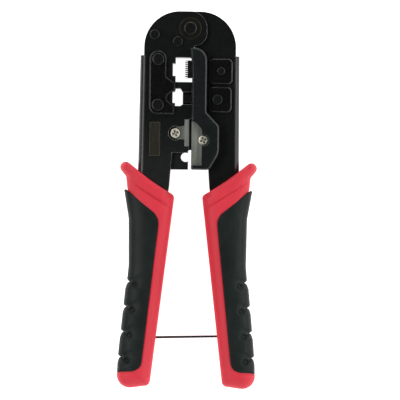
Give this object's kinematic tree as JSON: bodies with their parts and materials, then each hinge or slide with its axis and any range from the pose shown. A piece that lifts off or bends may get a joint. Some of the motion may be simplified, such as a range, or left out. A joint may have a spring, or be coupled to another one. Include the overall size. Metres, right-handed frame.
{
  "type": "rj45 crimping tool",
  "caption": "Hand crimping tool for modular network plugs, with plug nests, cable cutter, stripper and soft-grip handles.",
  "frame": {"origin": "centre of the face it lies on, under the middle of its outline", "axes": "+X to the right arm, +Y towards the pivot and head, +Z out of the front face"},
  "size_m": [0.0694, 0.1887, 0.025],
  "materials": {
    "black_steel": "black oxide, satin",
    "carrier_steel": "grey-black oxide, satin",
    "tool_steel": "hardened, dark",
    "blade_steel": "ground",
    "screw_steel": "nickel plated",
    "spring_steel": "drawn wire",
    "wire_steel": "black",
    "label_plate": "dark bronze",
    "red_plastic": "moulded, satin",
    "black_rubber": "soft grip, matte"
  },
  "bodies": {
    "fixed_arm": {"left_frame": "black_steel", "pivot_pin": "black_steel", "pivot_washers": "black_steel", "pivot_sleeve": "black_steel", "torsion_spring": "spring_steel", "head_rivet": "black_steel", "head_spacer_sleeve": "black_steel", "spring_anchor_rivet": "black_steel", "die_nest_block": "black_steel", "nest_face_plate": "black_steel", "nest_back_plate": "black_steel", "nest_rivets": "black_steel", "fixed_blade": "blade_steel", "fixed_blade_screw": "screw_steel", "stripper_block": "black_steel", "name_plate": "label_plate", "left_handle_shell": "red_plastic", "left_handle_grip": "black_rubber", "lock_wire_pin": "wire_steel"},
    "moving_arm": {"right_frame": "black_steel", "contact_comb": "tool_steel", "strain_punch_8p": "tool_steel", "punch_6p": "tool_steel", "punch_cover_8p": "black_steel", "punch_cover_6p": "black_steel", "punch_rivets": "black_steel", "blade_carrier": "carrier_steel", "moving_blade": "blade_steel", "moving_blade_screw": "screw_steel", "right_handle_shell": "red_plastic", "right_handle_grip": "black_rubber"},
    "lock_wire": {"lock_wire": "wire_steel"}
  },
  "joints": [
    {"name": "handle_close", "type": "hinge", "parent": "fixed_arm", "child": "moving_arm", "pos_m": [0, 0.08592, 0.012], "axis": [0, 0, -1], "range_deg": [-5.5, 7.5], "stiffness_Nm_per_rad": 0.6, "deforming": ["torsion_spring"]},
    {"name": "lock_wire_swing", "type": "hinge", "parent": "fixed_arm", "child": "lock_wire", "pos_m": [-0.0185, -0.06908, 0.012], "axis": [0, 0, 1], "range_deg": [-39, 53]}
  ],
  "couplings": [
    {"joint": "lock_wire_swing", "follows": "handle_close", "ratio": 7}
  ]
}
